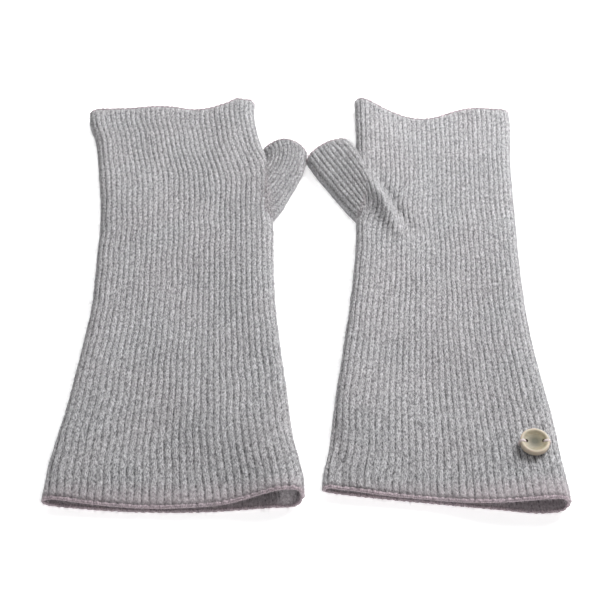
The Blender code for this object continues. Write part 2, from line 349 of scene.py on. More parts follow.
def stitch_map(mesh, ribs):
    """UV map knit, from what each point remembers. Faces that close the round are unwound."""
    corners = corner_points(mesh)
    u = remembered(mesh, "rib")[corners]
    v = remembered(mesh, "stitch")[corners]
    starts = values_of(mesh.polygons, "loop_start", kind=np.int32)
    totals = values_of(mesh.polygons, "loop_total", kind=np.int32)
    faces = np.repeat(np.arange(len(totals)), totals)
    highest = np.maximum.reduceat(u, starts)[faces]
    u = np.where(highest - u > ribs / 2, u + ribs, u)
    add_map(mesh, "knit", u, v)
    return u, v, faces


# %% [markdown]
# ### Laying the tube flat
#
# A section of a lying glove is a flat loop: the palm side rests on the table, the folds at both
# sides are round, and the back of the hand lies loosely on top, higher near the folds than in the
# middle. The loop is drawn finely and then walked in equal steps, one for each point of the tube,
# so all ribs are equally wide wherever they are.

# %% Sections
FOLD_SAMPLES = 40
FACE_SAMPLES = 60
GROUND = HALF_RELIEF + 0.1 * MM


def loop_in_steps(loop, steps):
    """Points at equal steps along a closed loop, at fractions of it given by steps."""
    closed = np.vstack((loop, loop[:1]))
    lengths = np.linalg.norm(np.diff(closed, axis=0), axis=1)
    walked = np.concatenate(([0], np.cumsum(lengths)))
    at = (steps % 1.0) * walked[-1]
    return np.column_stack([np.interp(at, walked, closed[:, i]) for i in range(closed.shape[1])])


def lying_loop(left, right, top_height, fold_radius, ground=GROUND):
    """A closed (x, z) loop from the right fold over the top to the left fold and back underneath."""
    bend = (1 - np.cos(np.linspace(0, math.pi / 2, FOLD_SAMPLES))) * fold_radius
    inner = np.linspace(0, 1, FACE_SAMPLES)[1:-1] * (right - left - 2 * fold_radius) + fold_radius
    inset = np.concatenate((bend, inner, right - left - bend[::-1]))
    x = right - inset
    nearest = np.minimum(inset, right - left - inset)
    rise = np.sqrt(np.clip(1 - (1 - np.clip(nearest / fold_radius, 0, 1)) ** 2, 0, 1))
    heights = top_height(x)
    middle = ground + (np.interp(x, (left, right), (heights[-1], heights[0])) - ground) * 0.5
    top = np.column_stack((x, middle + (heights - middle) * rise))
    bottom = np.column_stack((x, middle - (middle - ground) * rise))
    return np.vstack((top, bottom[::-1][1:-1]))


# %% [markdown]
# ### Small unevenness
#
# Hand-washed wool never lies quite straight: ribs waver, stitches differ and the fabric has soft
# swells. A few sine waves of unlike lengths, summed, give that without any randomness that could
# change from run to run.

# %% Waves
def swell(x, y, wavelength, seed):
    """A smooth wave field between about -1 and 1, the same for the same seed."""
    draw = np.random.default_rng(seed)
    total = 0
    for _ in range(5):
        turn = draw.uniform(0, 2 * math.pi)
        length = wavelength * draw.uniform(0.7, 1.5)
        shift = draw.uniform(0, 2 * math.pi)
        total = total + np.sin((x * math.cos(turn) + y * math.sin(turn)) * 2 * math.pi / length + shift)
    return total / 2.6


def bump_at(x, y, place, reach, turn=0.0):
    """A round or long mound of height 1 at a place; reach is its size along and across its turn."""
    dx, dy = x - place[0], y - place[1]
    along = dx * math.cos(turn) + dy * math.sin(turn)
    across = -dx * math.sin(turn) + dy * math.cos(turn)
    return np.exp(-((along / reach[0]) ** 2) - (across / reach[1]) ** 2)


def stitch_row(loop, row, ribs, waver, seed):
    """The points of one row of stitches round a loop, with ribs that waver a little."""
    steps = np.arange(ribs * POINTS_PER_RIB)
    sway = waver * swell(steps / POINTS_PER_RIB, row * 0.9, 9, seed)
    return loop_in_steps(loop, steps / len(steps) + sway / ribs)


# %% [markdown]
# ### Ribs and thickness
#
# The laid tube is a skin. Solidify gives it the fabric's thickness, and then each face is pleated:
# the outside stands up in rounded ribs with narrow valleys, and the inside does the same half a
# rib further round, because the valley of one face is the rib of the other.

# %% Pleat the fabric
RIB_SHAPE = 0.40             # below 1, ribs are full and valleys are narrow
ROUGH_YARN = 0.08 * MM
BRIDGES = 0.24 * MM          # how far stray yarn fills a valley here and there


def rib_height(rib):
    """0 in a valley to 1 on top of a rib."""
    return np.abs(np.sin(math.pi * rib)) ** RIB_SHAPE


def apply_modifier(piece, kind, **settings):
    pick(piece)
    modifier = piece.modifiers.new(kind.lower(), kind)
    for name, value in settings.items():
        setattr(modifier, name, value)
    bpy.ops.object.modifier_apply(modifier=modifier.name)


def knit_fabric(piece, ribs, seed):
    """Turns a laid skin into ribbed fabric with two faces."""
    mesh = piece.data
    skin_normals = normals_of(mesh)
    count = len(mesh.vertices)
    apply_modifier(piece, "SOLIDIFY", thickness=FABRIC, offset=-1.0)
    mesh = piece.data
    places = places_of(mesh)
    rib, stitch, pleat = (remembered(mesh, name) for name in ("rib", "stitch", "pleat"))
    fullness = 1 + 0.10 * np.sin(np.floor(rib) * 2.4 + seed) + 0.08 * swell(rib, stitch * 0.3, 9, seed)
    outside = np.arange(len(places)) < count
    normals = np.vstack((skin_normals, skin_normals))
    draw = np.random.default_rng(seed)
    loose = draw.normal(size=len(places)) * ROUGH_YARN
    loose += np.clip(draw.normal(size=len(places)), 0, 2) * (1 - rib_height(rib)) * BRIDGES
    outer = (rib_height(rib) - 0.5) * RIB_RELIEF * fullness * pleat + loose
    inner = -(rib_height(rib + 0.5) - 0.5) * RIB_RELIEF * 0.8 * pleat
    places += normals * np.where(outside, outer, inner)[:, None]
    put_places(mesh, places)
    mesh.shade_smooth()
    u, v, faces = stitch_map(mesh, ribs)
    first_corner = values_of(mesh.polygons, "loop_start", kind=np.int32)
    inside = (~outside)[corner_points(mesh)[first_corner]][faces]
    add_map(mesh, "OFBake", u / (ribs + 1), v / max(v.max(), 1) * 0.48 + np.where(inside, 0.51, 0.0))


# %% [markdown]
# ## The hands
#
# Each hand is one tube. What makes the two gloves unlike is how they were put down: where the back
# swells, where it touches the palm side, and how far the cuff gapes. These are given as heights of
# the back at five places across, for five places along, and a few soft mounds and dents.

# %% Lie of each glove
ACROSS = (-0.85, -0.45, 0.0, 0.42, 0.78)
LEFT_LIE = (
    (-0.130, (6.4, 4.8, 4.3, 7.2, 13.6)),
    (-0.116, (7.8, 6.0, 5.3, 7.4, 11.8)),
    (-0.095, (8.6, 7.2, 6.6, 8.0, 10.2)),
    (-0.020, (9.0, 7.8, 7.4, 7.8, 9.2)),
    (0.060, (9.0, 7.6, 7.0, 7.2, 9.6)),
    (0.128, (9.4, 7.6, 8.6, 7.6, 9.8)),
)
RIGHT_LIE = (
    (-0.130, (6.6, 4.6, 5.2, 9.6, 12.0)),
    (-0.116, (7.8, 5.8, 6.0, 8.8, 11.2)),
    (-0.095, (8.8, 7.2, 6.8, 8.2, 10.4)),
    (-0.020, (9.4, 8.0, 7.4, 7.8, 9.2)),
    (0.060, (9.6, 8.6, 7.4, 7.6, 9.2)),
    (0.128, (10.4, 7.6, 7.0, 8.6, 9.0)),
)
# (x, y), (reach along, reach across), turn, height, all lengths in metres
LEFT_MOUNDS = (
    ((-0.030, 0.088), (0.016, 0.007), math.radians(70), -2.4 * MM),
    ((-0.045, 0.070), (0.022, 0.009), math.radians(60), 1.6 * MM),
    ((-0.084, 0.055), (0.030, 0.012), math.radians(80), 1.2 * MM),
    ((-0.060, -0.010), (0.030, 0.010), math.radians(35), -1.2 * MM),
    ((-0.040, -0.085), (0.035, 0.010), math.radians(75), 1.2 * MM),
)
RIGHT_MOUNDS = (
    ((0.0413, 0.0460), (0.016, 0.0042), math.radians(114), 5.4 * MM),
    ((0.0475, 0.0500), (0.018, 0.0038), math.radians(114), -2.2 * MM),
    ((0.0362, 0.0450), (0.014, 0.0050), math.radians(114), 1.4 * MM),
    ((0.052, 0.088), (0.030, 0.010), math.radians(85), 1.0 * MM),
    ((0.083, 0.020), (0.040, 0.012), math.radians(80), 1.2 * MM),
    ((0.060, -0.060), (0.035, 0.012), math.radians(70), -1.0 * MM),
    ((0.0165, -0.112), (0.018, 0.0035), math.radians(92), -1.5 * MM),
)
# where the palm side of the left cuff is tucked up: (x, y), (reach across, reach along), height
LEFT_TUCK = ((-0.0062, -0.1200), (0.0040, 0.0036), 7.5 * MM)


def back_height(lie, mounds, sides, seed):
    """A function of x and y that gives the height of the glove's back."""
    def height(x, y):
        left, right = (float(smooth(rows, y)) for rows in sides)
        share = 2 * (x - left) / (right - left) - 1
        across = [float(smooth([(row[0], row[1][i]) for row in lie], y)) for i in range(len(ACROSS))]
        top = smooth(list(zip(ACROSS, across)), share) * MM
        for place, reach, turn, rise in mounds:
            top = top + rise * bump_at(x, y, place, reach, turn)
        return top + 0.35 * MM * swell(x, y, 0.05, seed)
    return height


# %% Where the fabric has settled
FIRST_SECTION = 3 * MM       # from the cuff to the first section that is drawn
SECTIONS_SHORT_BY = 9 * MM   # what the sections leave out at both mouths together
FOLD_RADII = ((-0.130, 6.4), (-0.110, 5.5), (0.000, 5.2), (0.130, 5.0))     # y, and radius in mm
RIB_WAVER = 0.08             # of a rib's width
FLAT_RIB = 0.45              # how deep ribs still are at a bound-off edge, as a share of their full depth
RIBS_START = 3.4 * MM        # from an edge to where ribs are full
# How far the fabric has settled away from the plain outline, in mm. Sides: y, and the shift to the
# right. Mouths: share across from -1 to 1, and the reach out of the glove; the lip is the palm side's
# reach past the back's.
SETTLED = {
    "left": {
        "left side": (
            (-0.130, -0.3), (-0.119, 0.5), (-0.090, 1.1), (-0.055, 1.1), (-0.020, 1.1), (0.030, 1.0),
            (0.060, 1.3), (0.080, 1.6), (0.095, 1.9), (0.107, 1.1), (0.114, -0.2), (0.121, -1.7),
            (0.130, -1.7),
        ),
        "right side": (
            (-0.130, 1.7), (-0.119, 1.1), (-0.105, -0.9), (-0.060, -0.8), (0.030, -0.8),
            (0.074, -0.4), (0.086, -1.6), (0.095, -3.0), (0.101, -3.0), (0.109, -1.1), (0.122, -0.4),
        ),
        "cuff reach": ((-1.0, 1.6), (-0.5, 2.2), (0.25, 2.2), (0.80, 0.3), (1.0, 0.3)),
        "cuff lip": ((-1.0, 0.6), (0.25, 0.2), (0.90, 1.6), (1.0, 1.6)),
        "finger reach": (
            (-1.0, -1.7), (-0.5, -2.2), (-0.2, 0.0), (0.0, 0.4), (0.25, -1.9), (0.55, -2.6), (0.79, -1.0),
            (0.87, 0.6), (0.94, 3.5), (1.0, 3.2),
        ),
    },
    "right": {
        "left side": (
            (-0.130, -1.4), (-0.119, -0.5), (-0.108, 1.8), (-0.080, 2.4), (-0.030, 2.4), (0.020, 1.9),
            (0.045, 0.6), (0.100, 0.6), (0.122, 0.2),
        ),
        "right side": (
            (-0.130, 0.4), (-0.119, -0.2), (-0.110, -0.9), (-0.080, -0.4), (0.000, -0.5), (0.122, 0.0),
        ),
        "cuff reach": ((-1.0, 0.9), (0.0, 1.2), (0.40, 2.9), (0.80, 2.6), (1.0, 2.2)),
        "cuff lip": ((-1.0, -0.3), (0.0, -0.5), (0.40, -1.0), (0.80, 1.1), (1.0, 0.6)),
        "finger reach": (
            (-1.0, 1.5), (-0.7, 0.0), (-0.4, -1.8), (0.1, -1.9), (0.55, 0.0), (0.9, -2.0), (1.0, -2.0),
        ),
    },
}


# %% Lay the hands
def laid(tube, grid, columns, row_of, stitch, from_mouth):
    """Moves a round tube's points to their places in grid, and gives the skin's normals likewise."""
    put_places(tube.data, grid[row_of, columns])
    remember(tube.data, "rib", columns / POINTS_PER_RIB)
    remember(tube.data, "stitch", stitch)
    remember(tube.data, "pleat", np.clip(FLAT_RIB + from_mouth[row_of] / RIBS_START, 0, 1))
    normals = np.zeros_like(grid)
    normals[row_of, columns] = normals_of(tube.data)
    return normals


def lay_hand(hand, lie, mounds, seed):
    """A hand tube's skin, with its places and its normals as rows of columns."""
    ribs, rows = RIBS_ROUND_HAND, HAND_ROWS
    tube = round_tube(hand + "_hand", ribs, rows)
    columns, row_of = columns_and_rows(tube, ribs, rows)
    settled = SETTLED[hand]
    low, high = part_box(hand + "_hand_tube")
    sides = []
    for name, side in (("left side", -1), ("right side", 1)):
        line = side_line(hand, side)
        line = [(low.y, line[0][1]), *line, (high.y, line[-1][1])]
        sides.append([(y, x + float(smooth(settled[name], y)) * MM) for y, x in line])
    cuff, fingers = mouth_line(hand, -1), mouth_line(hand, 1)
    height = back_height(lie, mounds, sides, seed)
    grid = np.empty((rows, ribs * POINTS_PER_RIB, 3))
    for row in range(rows):
        share = row / (rows - 1)
        y = low.y + FIRST_SECTION + share * (high.y - low.y - SECTIONS_SHORT_BY)
        left, right = (float(smooth(rows_, y)) for rows_ in sides)
        fold = float(smooth(FOLD_RADII, y)) * MM
        loop = lying_loop(left, right, lambda x: height(x, y), fold)
        points = stitch_row(loop, row, ribs, RIB_WAVER, seed + 1)
        across = 2 * (points[:, 0] - left) / (right - left) - 1
        start = smooth(cuff, across) - smooth(settled["cuff reach"], across) * MM
        end = smooth(fingers, across) + smooth(settled["finger reach"], across) * MM
        under = np.clip(1.4 - points[:, 1] / (3 * MM), 0, 1)
        if hand == "left":
            place, reach, rise = LEFT_TUCK
            points[:, 1] += rise * under * bump_at(points[:, 0], y, place, reach)
        start = start - smooth(settled["cuff lip"], across) * MM * under * under * (3 - 2 * under)
        grid[row, :, 0] = points[:, 0]
        grid[row, :, 1] = start + share * (end - start)
        grid[row, :, 2] = points[:, 1]
    stitch = (grid[row_of, columns][:, 1] - low.y) / STITCH_LENGTH
    from_mouth = np.minimum(np.arange(rows), np.arange(rows)[::-1]) * (high.y - low.y) / rows
    return tube, grid, laid(tube, grid, columns, row_of, stitch, from_mouth)


left_hand, left_grid, left_normals = lay_hand("left", LEFT_LIE, LEFT_MOUNDS, 11)
right_hand, right_grid, right_normals = lay_hand("right", RIGHT_LIE, RIGHT_MOUNDS, 23)
print("left cuff is", round(float(np.ptp(left_grid[0, :, 0])), 3), "m wide")

# %% [markdown]
# ### The thumb's hole
#
# Where the thumb leaves, a few ribs at the fold are taken out, a little short of the seam, so the
# hand's edge lies under the thumb's and the two tubes open into each other.

# %% Open the hands for the thumbs
HOLE_RIBS = 1.5                # ribs on each side of the fold that the thumb's hole takes


def open_thumb_hole(tube, middle, first, last):
    """Takes out faces near the rib called middle, between two places along the hand."""
    mesh = tube.data
    rib = remembered(mesh, "rib")
    away = np.abs((rib - middle + RIBS_ROUND_HAND / 2) % RIBS_ROUND_HAND - RIBS_ROUND_HAND / 2)
    y = places_of(mesh)[:, 1]
    inside = (away < HOLE_RIBS + 0.01) & (y > first) & (y < last)
    pick(tube)
    bpy.ops.object.mode_set(mode="EDIT")
    select_where(tube, "FACE", lambda face: all(inside[vertex.index] for vertex in face.verts))
    bpy.ops.mesh.delete(type="FACE")
    leave_edit()


open_thumb_hole(left_hand, 0, 45 * MM, 74 * MM)
open_thumb_hole(right_hand, RIBS_ROUND_HAND / 2, 43 * MM, 64 * MM)

# %% [markdown]
# ## The thumbs
#
# A thumb is the same tube, shorter. Its sections are chords between an outer and an inner edge.
# The first chord lies along the hand's fold and the last one across the thumb's tip, so the ribs
# fan out of the side of the hand and turn up with it. On the right glove the inner edge is pushed
# over the hand, and stands up in a ridge.

# %% Lay the thumbs
# share of the length, outer x and y, inner x and y, heights at the outer edge, middle and inner edge
LEFT_THUMB = (
    (0.00, -25.0, 37.6, -25.0, 75.0, 8.0, 8.6, 7.8),
    (0.08, -17.2, 38.1, -20.2, 77.2, 8.9, 9.9, 8.5),
    (0.20, -12.2, 44.0, -19.2, 79.5, 8.9, 10.1, 8.6),
    (0.40, -7.2, 55.0, -19.0, 82.0, 8.6, 9.8, 8.0),
    (0.60, -2.6, 66.0, -19.4, 84.6, 8.4, 9.8, 7.6),
    (0.80, 0.9, 76.8, -20.6, 87.0, 8.2, 9.8, 7.0),
    (1.00, 2.4, 87.6, -22.0, 88.4, 8.0, 9.8, 6.4),
)
RIGHT_THUMB = (
    (0.00, 35.0, 36.8, 41.0, 55.0, 7.6, 8.6, 9.6),
    (0.08, 29.6, 37.4, 38.0, 60.0, 8.2, 10.2, 13.0),
    (0.20, 25.6, 42.0, 35.6, 66.5, 7.8, 10.5, 14.0),
    (0.40, 19.2, 52.0, 33.2, 74.5, 7.6, 10.5, 13.8),
    (0.60, 13.0, 62.5, 30.8, 82.0, 7.4, 10.1, 13.0),
    (0.80, 7.2, 72.5, 28.2, 89.2, 7.4, 9.5, 11.4),
    (1.00, 2.6, 81.6, 25.0, 95.2, 7.6, 9.3, 9.8),
)
THUMB_FOLDS = ((0.0, 6.2), (0.3, 5.2), (0.7, 4.5), (1.0, 4.4))      # share, and radius in mm
TIP_BULGE = {"left": 5.8 * MM, "right": 3.0 * MM}
THUMB_LENGTH = 56 * MM
ROOT_LIFT = 0.9 * MM          # how far the palm side of a thumb's root lies above the hand's
ROOT_SHARE = 0.12


def lay_thumb(hand, table, seed):
    """A thumb tube's skin, with its places and its normals as rows of columns."""
    ribs, rows = RIBS_ROUND_THUMB, THUMB_ROWS
    tube = round_tube(hand + "_thumb", ribs, rows)
    columns, row_of = columns_and_rows(tube, ribs, rows)
    grid = np.empty((rows, ribs * POINTS_PER_RIB, 3))
    for row in range(rows):
        share = row / (rows - 1)
        outer_x, outer_y, inner_x, inner_y, *heights = (
            float(smooth([(line[0], line[i]) for line in table], share)) * MM for i in range(1, 8)
        )
        outer, inner = np.array((outer_x, outer_y)), np.array((inner_x, inner_y))
        start, end = (inner, outer) if hand == "left" else (outer, inner)
        heights = heights[::-1] if hand == "left" else heights
        width = float(np.linalg.norm(end - start))
        sections = list(zip((0, width / 2, width), heights))
        lift = ROOT_LIFT * max(0, 1 - share / ROOT_SHARE)
        fold = float(smooth(THUMB_FOLDS, share)) * MM
        loop = lying_loop(0, width, lambda s: smooth(sections, s), fold, GROUND + lift)
        points = stitch_row(loop, row, ribs, RIB_WAVER / 2, seed)
        chord = (end - start) / width
        forward = np.array((-chord[1], chord[0]))
        across = 2 * points[:, 0] / width - 1
        ahead = TIP_BULGE[hand] * share**2 * (1 - across**2)
        grid[row, :, :2] = start + points[:, :1] * chord + ahead[:, None] * forward
        grid[row, :, 2] = points[:, 1]
    stitch = row_of / (rows - 1) * THUMB_LENGTH / STITCH_LENGTH
    from_mouth = np.arange(rows)[::-1] * THUMB_LENGTH / rows
    return tube, grid, laid(tube, grid, columns, row_of, stitch, from_mouth)


left_thumb, left_thumb_grid, left_thumb_normals = lay_thumb("left", LEFT_THUMB, 31)
right_thumb, right_thumb_grid, right_thumb_normals = lay_thumb("right", RIGHT_THUMB, 37)
fabrics = (left_hand, right_hand, left_thumb, right_thumb)
for seed, tube in enumerate(fabrics, 1):
    knit_fabric(tube, RIBS_ROUND_HAND if "hand" in tube.name else RIBS_ROUND_THUMB, seed)
    print(tube.name, "has", len(tube.data.polygons), "faces")

# %% [markdown]
# ## Edges and seams
#
# Knitting is closed at an edge by pulling each stitch over the next one, which makes a rounded
# chain along the mouth. It is a curve that runs in the middle of the fabric's thickness, thick at
# each rib and thin between. Seams are two plies of yarn laid round each other. Curves are the
# quickest way to either, and they are turned into meshes at the end.

# %% Yarn curves
EDGE_RADIUS = 0.85 * MM
EDGE_SWING = 0.16 * MM
SEAM_RADIUS = 0.36 * MM
PLY_TURN = 3.2 * MM


def curve_piece(name, lines, radius, cyclic, resolution=2):
    """A mesh made of round strands. Each line is (points, thickness at each point as a share of radius)."""
    data = bpy.data.curves.new(name, "CURVE")
    data.dimensions = "3D"
    data.bevel_depth = radius
    data.bevel_resolution = resolution
    data.use_fill_caps = True
    for points, shares in lines:
        spline = data.splines.new("POLY")
        spline.points.add(len(points) - 1)
        spline.points.foreach_set("co", np.column_stack((points, np.ones(len(points)))).ravel())
        spline.points.foreach_set("radius", np.broadcast_to(shares, len(points)).astype(float))
        spline.use_cyclic_u = cyclic
    piece = bpy.data.objects.new(name, data)
    bpy.context.scene.collection.objects.link(piece)
    pick(piece)
    bpy.ops.object.convert(target="MESH")
    piece = bpy.context.object
    piece.name = name
    bpy.ops.object.mode_set(mode="EDIT")
    bpy.ops.mesh.select_all(action="SELECT")
    bpy.ops.mesh.normals_make_consistent(inside=False)
    leave_edit()
    piece.data.shade_smooth()
    return piece


# %% Bound-off edges
def bound_edge(name, grid, normals, end):
    """The chain of stitches round a mouth. end is 0 for the first row of the tube, -1 for the last."""
    count = grid.shape[1]
    rib = np.arange(count) / POINTS_PER_RIB
    out = grid[end] - grid[1 if end == 0 else -2]
    out /= np.linalg.norm(out, axis=1)[:, None]
    middle = grid[end] - normals[end] * FABRIC / 2 + out * 0.35 * MM
    swing = EDGE_SWING * np.cos(2 * math.pi * (rib - 0.5))
    points = middle + normals[end] * swing[:, None]
    shares = 0.98 + 0.05 * np.cos(2 * math.pi * (rib - 0.5)) + 0.06 * np.cos(2.6 * math.pi * rib + 1)
    return curve_piece(name, [(points, shares)], EDGE_RADIUS, True)


def two_ply(name, path, normals, cyclic=False, radius=SEAM_RADIUS):
    """Two plies of yarn laid round a path."""
    steps = np.linalg.norm(np.diff(path, axis=0), axis=1)
    walked = np.concatenate(([0], np.cumsum(steps)))
    fine = np.linspace(0, walked[-1], int(walked[-1] / PLY_TURN * 8))
    if cyclic:
        fine = fine[:-1]
    centre = np.column_stack([np.interp(fine, walked, path[:, i]) for i in range(3)])
    up = np.column_stack([np.interp(fine, walked, normals[:, i]) for i in range(3)])
    up /= np.linalg.norm(up, axis=1)[:, None]
    along = np.gradient(centre, axis=0)
    along /= np.linalg.norm(along, axis=1)[:, None]
    aside = np.cross(up, along)
    turns = round(walked[-1] / PLY_TURN)
    lines = []
    for start in (0, math.pi):
        angle = 2 * math.pi * turns * fine / walked[-1] + start
        offset = up * np.sin(angle)[:, None] * 0.6 + aside * np.cos(angle)[:, None]
        lines.append((centre + offset * radius * 0.8, 1.0))
    return curve_piece(name, lines, radius, cyclic, resolution=1)


edges = {}
for hand, grid, normals in (("left", left_grid, left_normals), ("right", right_grid, right_normals)):
    edges[hand + "_cuff_edge"] = bound_edge(hand + "_cuff", grid, normals, 0)
    edges[hand + "_finger_edge"] = bound_edge(hand + "_fingers", grid, normals, -1)
edges["left_thumb_edge"] = bound_edge("left_thumb_mouth", left_thumb_grid, left_thumb_normals, -1)
edges["right_thumb_edge"] = bound_edge("right_thumb_mouth", right_thumb_grid, right_thumb_normals, -1)
print("edges:", ", ".join(edges))


# %% Seams
def side_seam(name, grid, normals, rib):
    """A seam down a valley of the hand, from the cuff to the fingers."""
    column = rib * POINTS_PER_RIB
    path = grid[:, column] - normals[:, column] * RIB_RELIEF * 0.25
    return two_ply(name, path, normals[:, column])


def thumb_seam(name, grid, normals, share):
    """A seam round the root of the thumb."""
    row = round(share * (len(grid) - 1))
    path = grid[row] + normals[row] * 0.1 * MM
    path[:, 2] = np.maximum(path[:, 2], 0.9 * MM)
    closed = np.arange(len(path) + 1) % len(path)
    return two_ply(name, path[closed], normals[row][closed], cyclic=True)


seams = {
    "left_side_seam": side_seam("left_side", left_grid, left_normals, RIBS_ROUND_HAND // 2),
    "right_side_seam": side_seam("right_side", right_grid, right_normals, 0),
    "left_thumb_seam": thumb_seam("left_thumb_root", left_thumb_grid, left_thumb_normals, 0.08),
    "right_thumb_seam": thumb_seam("right_thumb_root", right_thumb_grid, right_thumb_normals, 0.10),
}
print("seams:", ", ".join(seams))

# %% [markdown]
# ## The horn button
#
# The button is turned from horn: a thick disc with a raised rim, a shallow dish and two holes. A
# cylinder is inset and its middle pushed down in steps, as a lathe would do it, the outer corners
# are rounded with a bevel, and the holes and the two thread grooves in the rim are drilled.

# %% Turn and drill the button
BUTTON_RADIUS = 6.6 * MM
BUTTON_THICKNESS = 2.9 * MM
RIM_WIDTH = 1.2 * MM
HOLE_FROM_CENTRE = 3.9 * MM
HOLE_RADIUS = 0.85 * MM
CORNER = 0.75 * MM            # radius of the rounded corners
GROOVE_RADIUS = 0.75 * MM
GROOVE_LENGTH = 5 * MM
BUTTON_LIFT = 0.60 * MM       # between the wool and the button's underside
DISH = ((0.6, -0.30), (0.9, -0.20), (1.3, -0.10), (1.6, -0.04))     # inset and depth of each step, in mm
button_low, button_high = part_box("button")
button_x = (button_low.x + button_high.x) / 2 - 0.3 * MM
button_y = (button_low.y + button_high.y) / 2 - 0.8 * MM
hit, under_button, _, _ = right_hand.ray_cast(Vector((button_x, button_y, 0.1)), Vector((0, 0, -1)))
button_z = under_button.z + BUTTON_LIFT


def drill(piece, place, radius, depth, rotation=(0, 0, 0)):
    """Cuts a round hole in a piece with a throw-away cylinder."""
    bpy.ops.object.select_all(action="DESELECT")
    bpy.ops.mesh.primitive_cylinder_add(
        vertices=24, radius=radius, depth=depth, location=place, rotation=rotation
    )
    bit = bpy.context.object
    apply_modifier(piece, "BOOLEAN", operation="DIFFERENCE", object=bit, solver="EXACT")
    bpy.data.objects.remove(bit)


bpy.ops.object.select_all(action="DESELECT")
bpy.ops.mesh.primitive_cylinder_add(
    vertices=72, radius=BUTTON_RADIUS, depth=BUTTON_THICKNESS,
    location=(button_x, button_y, button_z + BUTTON_THICKNESS / 2),
)
button = bpy.context.object
button.name = "horn_button"
bpy.ops.object.transform_apply(location=True, rotation=True, scale=True)
bpy.ops.object.mode_set(mode="EDIT")
select_where(button, "EDGE", lambda edge: reach_along(edge, 2) < 0.1 * MM)
bpy.ops.mesh.bevel(offset=CORNER, segments=5, affect="EDGES")
select_where(button, "FACE", lambda face: len(face.verts) > 8 and face.normal.z > 0.9)
bpy.ops.mesh.inset(thickness=RIM_WIDTH - CORNER)
for inset, depth in DISH:
    bpy.ops.mesh.inset(thickness=inset * MM)
    bpy.ops.transform.translate(value=(0, 0, depth * MM))
leave_edit()
for side in (-1, 1):
    hole = (button_x + side * HOLE_FROM_CENTRE, button_y, button_z + BUTTON_THICKNESS / 2)
    drill(button, hole, HOLE_RADIUS, 4 * BUTTON_THICKNESS)
    groove = (button_x + side * BUTTON_RADIUS, button_y, button_z + BUTTON_THICKNESS + 0.1 * MM)
    drill(button, groove, GROOVE_RADIUS, GROOVE_LENGTH, (0, math.pi / 2, 0))
pick(button)
bpy.ops.object.shade_smooth_by_angle(angle=math.radians(34))
print("button lies at", round(button_z, 4), "and has", len(button.data.polygons), "faces")

# %% [markdown]
# ### Sewing thread
#
# Each stitch is three strands side by side. They come up through a hole, lie along the dish, go
# over the rim in its groove and down into the knitting.

# %% Sew the button on
THREAD_RADIUS = 0.26 * MM
STRANDS = 3
# distance from the button's middle and height above its underside, in mm
STITCH_PATH = ((3.9, -0.9), (3.9, 1.4), (4.15, 2.2), (4.6, 2.55), (5.3, 2.75), (6.0, 2.72), (6.6, 2.3),
               (6.95, 1.4), (7.0, 0.3), (6.8, -0.9))


def button_thread(name, side):
    lines = []
    for strand in range(STRANDS):
        aside = (strand - (STRANDS - 1) / 2) * THREAD_RADIUS * 1.7
        lift = 0.12 * MM if strand == 1 else 0.0
        outline = np.array(STITCH_PATH) * MM
        along = np.linspace(0, len(outline) - 1, 40)
        out = np.interp(along, range(len(outline)), outline[:, 0])
        up = np.interp(along, range(len(outline)), outline[:, 1])
        points = np.column_stack((
            button_x + side * (out + lift * 0.5),
            button_y + aside * (0.85 + 0.15 * np.sin(along * 1.3 + strand)),
            button_z + up + lift,
        ))
        lines.append((points, 1.0))
    return curve_piece(name, lines, THREAD_RADIUS, False, resolution=2)


stitch_left = button_thread("thread_left", -1)
stitch_right = button_thread("thread_right", 1)
print("thread rises", round(max(vertex.co.z for vertex in stitch_left.data.vertices), 4))

# %% [markdown]
# ## Loose fibres
#
# Lambswool is soft because fibre ends stand out of the yarn. They blur the outline and catch the
# light. Others lie felted across the ribs and break up their straight valleys. One fibre is a
# three-sided cone with a joint in the middle. It is then copied thousands of times onto the outside
# of the fabric, each with a length, lean and bend of its own.

# %% One fibre
FIBRE_RADIUS = 0.06 * MM


def one_fibre():
    """Places of a fibre's points, and its faces. It stands along Z from 0 to 1, with radius 1."""
    bpy.ops.object.select_all(action="DESELECT")
    bpy.ops.mesh.primitive_cone_add(vertices=3, radius1=1, radius2=0.35, depth=1, location=(0, 0, 0.5))
    fibre = bpy.context.object
    bpy.ops.object.transform_apply(location=True, rotation=True, scale=True)
    bpy.ops.object.mode_set(mode="EDIT")
    select_where(fibre, "EDGE", lambda edge: reach_along(edge, 2) > 0.5)
    bpy.ops.mesh.subdivide(number_cuts=1)
    leave_edit()
    places = places_of(fibre.data)
    faces = [tuple(face.vertices) for face in fibre.data.polygons]
    bpy.data.objects.remove(fibre)
    return places, faces


fibre_places, fibre_faces = one_fibre()


# %% Spots on the fabric
SCATTER = 0.5 * MM


def outer_spots(piece, count, draw, lowest):
    """Random places and outward directions on the outside of a fabric piece, above a lowest height."""
    mesh = piece.data
    total = len(mesh.polygons)
    centres, normals = (values_of(mesh.polygons, name, 3).astype(float) for name in ("center", "normal"))
    areas = values_of(mesh.polygons, "area")
    outside = np.arange(total) < total // 2 if "rib" in mesh.attributes else np.ones(total, bool)
    weights = areas * outside * (centres[:, 2] > lowest)
    chosen = draw.choice(total, count, p=weights / weights.sum())
    shift = draw.normal(size=(count, 3)) * SCATTER
    shift -= (shift * normals[chosen]).sum(axis=1)[:, None] * normals[chosen]
    return centres[chosen] + shift, normals[chosen]


